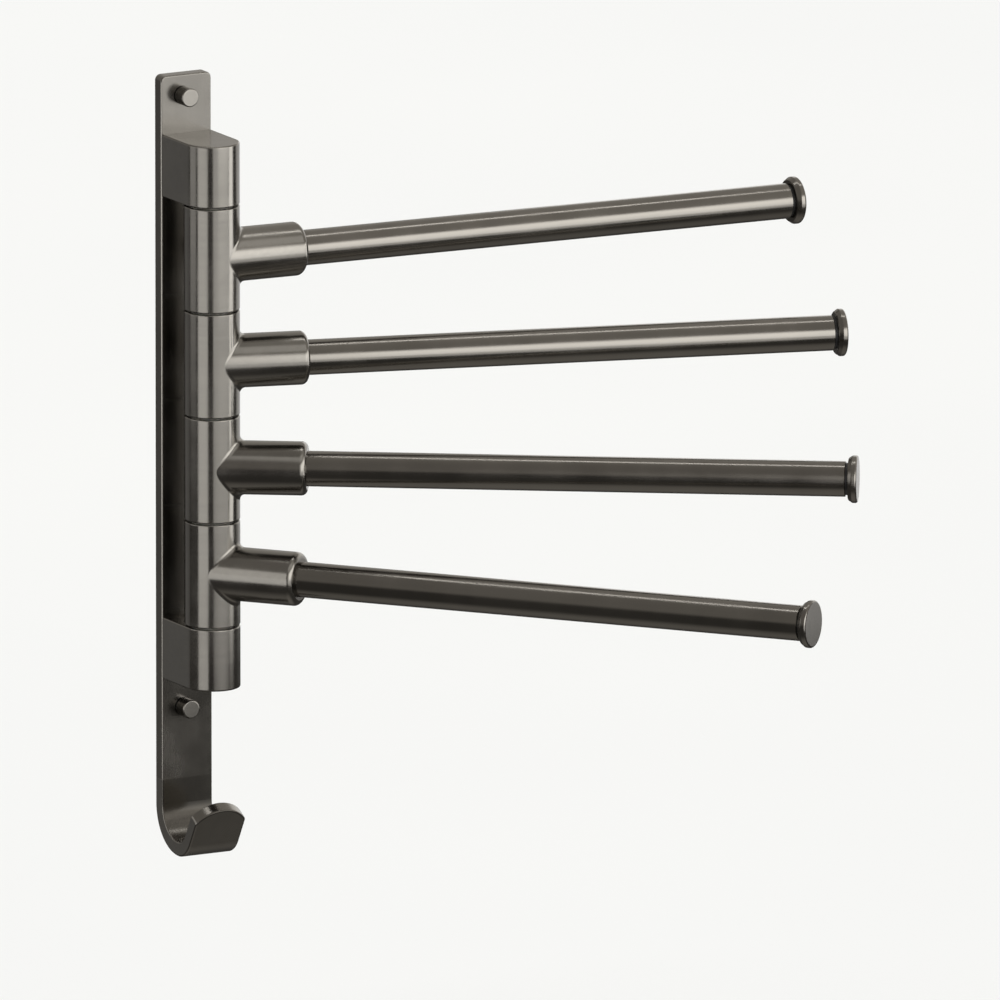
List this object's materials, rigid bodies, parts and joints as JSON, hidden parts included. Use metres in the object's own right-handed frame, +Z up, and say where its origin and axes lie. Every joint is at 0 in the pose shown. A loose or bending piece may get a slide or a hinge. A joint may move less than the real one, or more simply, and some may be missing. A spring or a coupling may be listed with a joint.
{
  "type": "swing arm towel bar",
  "caption": "Wall-mounted towel bar: tubular arms with flared round ends swing one by one about an upright pivot on a narrow plate with a hook at its foot.",
  "frame": {"origin": "on the wall plane at the back of the plate, on the plate's centre line, at mid height of the stack of hubs", "axes": "+Z up, +Y into the wall, +X to the right along the wall as seen from the room"},
  "size_m": [0.3591, 0.3309, 0.4205],
  "materials": {
    "plate_metal": "satin gunmetal, fine vertical brushing",
    "bracket_metal": "satin gunmetal",
    "hub_metal": "satin gunmetal, turned",
    "tube_metal": "gunmetal, fine brushing along the tube",
    "cap_metal": "satin gunmetal, turned",
    "hook_metal": "satin gunmetal, cast and polished",
    "cover_metal": "satin gunmetal",
    "rod_steel": "ground",
    "screw_steel": "zinc plated",
    "spring_steel": "oiled spring steel",
    "bush_nylon": "natural nylon",
    "plug_plastic": "moulded"
  },
  "bodies": {
    "wall_bracket": {"back_plate": "plate_metal", "hook": "hook_metal", "hook_screws": "screw_steel", "top_bracket": "bracket_metal", "bottom_bracket": "bracket_metal", "bracket_screws": "screw_steel", "pivot_rod": "rod_steel", "rod_washer": "screw_steel", "disc_springs": "spring_steel", "rod_cover": "cover_metal", "top_thrust_washer": "bush_nylon", "bottom_thrust_washer": "bush_nylon", "upper_screw_cover": "cover_metal", "lower_screw_cover": "cover_metal", "wall_screws": "screw_steel", "cover_seats": "plug_plastic"},
    "arm_1": {"hub_1": "hub_metal", "hub_1_bushes": "bush_nylon", "arm_tube_1": "tube_metal", "tube_plug_1": "plug_plastic", "cap_insert_1": "plug_plastic", "set_screw_1": "screw_steel", "end_cap_1": "cap_metal"},
    "arm_2": {"hub_2": "hub_metal", "hub_2_bushes": "bush_nylon", "arm_tube_2": "tube_metal", "tube_plug_2": "plug_plastic", "cap_insert_2": "plug_plastic", "set_screw_2": "screw_steel", "end_cap_2": "cap_metal"},
    "arm_3": {"hub_3": "hub_metal", "hub_3_bushes": "bush_nylon", "arm_tube_3": "tube_metal", "tube_plug_3": "plug_plastic", "cap_insert_3": "plug_plastic", "set_screw_3": "screw_steel", "end_cap_3": "cap_metal"},
    "arm_4": {"hub_4": "hub_metal", "hub_4_bushes": "bush_nylon", "arm_tube_4": "tube_metal", "tube_plug_4": "plug_plastic", "cap_insert_4": "plug_plastic", "set_screw_4": "screw_steel", "end_cap_4": "cap_metal"}
  },
  "joints": [
    {"name": "arm_1_swing", "type": "hinge", "parent": "wall_bracket", "child": "arm_1", "pos_m": [0, -0.0365, 0.0855], "axis": [0, 0, -1], "range_deg": [-3.2, 176.8]},
    {"name": "arm_2_swing", "type": "hinge", "parent": "wall_bracket", "child": "arm_2", "pos_m": [0, -0.0365, 0.0285], "axis": [0, 0, -1], "range_deg": [-15.8, 164.2]},
    {"name": "arm_3_swing", "type": "hinge", "parent": "wall_bracket", "child": "arm_3", "pos_m": [0, -0.0365, -0.0285], "axis": [0, 0, -1], "range_deg": [-33.6, 146.4]},
    {"name": "arm_4_swing", "type": "hinge", "parent": "wall_bracket", "child": "arm_4", "pos_m": [0, -0.0365, -0.0855], "axis": [0, 0, -1], "range_deg": [-50.6, 129.4]}
  ]
}
